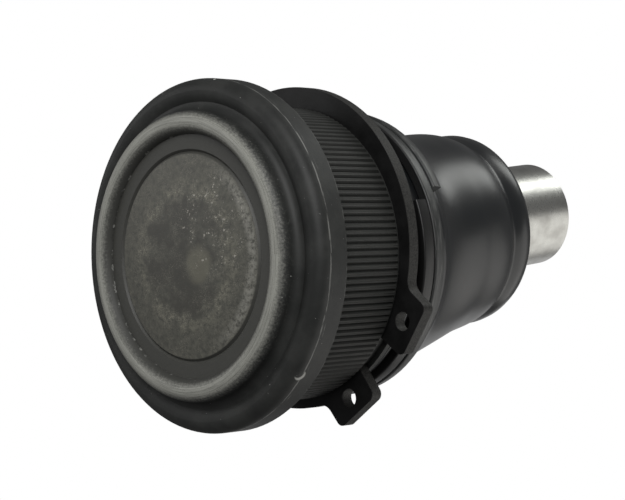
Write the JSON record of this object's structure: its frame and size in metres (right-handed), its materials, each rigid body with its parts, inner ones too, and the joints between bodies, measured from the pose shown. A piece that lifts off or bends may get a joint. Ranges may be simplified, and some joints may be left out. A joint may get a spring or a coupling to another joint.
{
  "type": "suspension ball joint",
  "caption": "Press-in suspension ball joint: a knurled steel housing with a flange and a crimped cover, a snap ring, a rubber dust boot and a plain pinch stud that swings and spins.",
  "frame": {"origin": "centre of the ball, on the knurled body's axis", "axes": "+Z along the housing axis towards the stud; +X is the axis of the first swing; at rest the stud leans 5.7 degrees about -X and 2.3 degrees about -Y"},
  "size_m": [0.0539, 0.0536, 0.0826],
  "materials": {
    "black_steel": "satin black oxide",
    "cover_steel": "matte, mottled",
    "bearing_plastic": "matte",
    "spring_steel": "tempered",
    "ring_steel": "satin black",
    "clamp_steel": "satin black",
    "boot_rubber": "smooth, glossy",
    "insert_steel": "dull",
    "stud_steel": "turned and ground"
  },
  "bodies": {
    "housing": {"housing": "black_steel", "end_cover": "cover_steel", "upper_bearing": "bearing_plastic", "lower_bearing": "bearing_plastic", "disc_spring": "spring_steel", "boot_clamp_ring": "clamp_steel"},
    "snap_ring": {"snap_ring": "ring_steel"},
    "boot": {"dust_boot": "boot_rubber"},
    "boot_collar": {"boot_lip_insert": "insert_steel"},
    "stud": {"ball_stud": "stud_steel"}
  },
  "joints": [
    {"name": "swing_x", "type": "hinge", "parent": "housing", "child": "boot", "pos_m": [0, 0, 0], "axis": [1, 0, 0], "range_deg": [-11.8, 23.2], "deforming": ["dust_boot"]},
    {"name": "swing_y", "type": "hinge", "parent": "boot", "child": "boot_collar", "pos_m": [0, 0, 0], "axis": [0, 0.9951, -0.0993], "range_deg": [-15.2, 19.8], "deforming": ["dust_boot"]},
    {"name": "stud_spin", "type": "hinge", "parent": "boot_collar", "child": "stud", "pos_m": [0, 0, 0], "axis": [-0.0401, 0.0992, 0.9943], "continuous": true},
    {"name": "snap_ring_lift_off", "type": "slide", "parent": "housing", "child": "snap_ring", "axis": [0, 0, 1], "range_m": [0, 0.06], "deforming": ["snap_ring"]}
  ]
}
